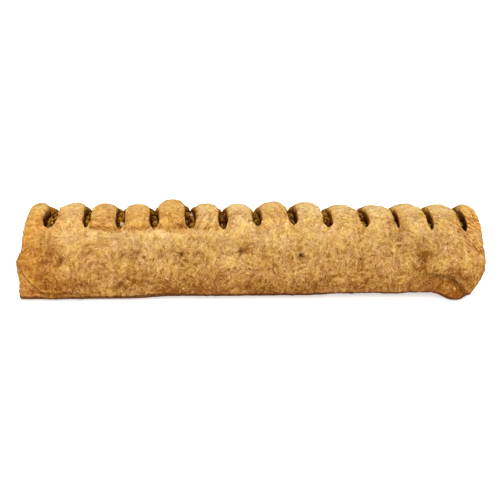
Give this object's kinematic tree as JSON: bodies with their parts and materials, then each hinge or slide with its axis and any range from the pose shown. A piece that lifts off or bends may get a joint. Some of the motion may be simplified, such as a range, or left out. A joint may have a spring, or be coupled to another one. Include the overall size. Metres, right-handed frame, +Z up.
{
  "type": "apple strudel",
  "caption": "Long bar of baked strudel pastry with a row of slits across its rounded top that show the apple filling inside.",
  "frame": {"origin": "centre of the flat base", "axes": "+X along the bar, towards its rounder end; +Z up; the pricked front side faces -Y"},
  "size_m": [0.3004, 0.0908, 0.0531],
  "materials": {
    "pastry": "rough, golden-brown baked pastry",
    "apple_filling": "wet, brown cooked apple"
  },
  "bodies": {
    "root": {"crust": "pastry", "filling": "apple_filling"}
  },
  "joints": []
}
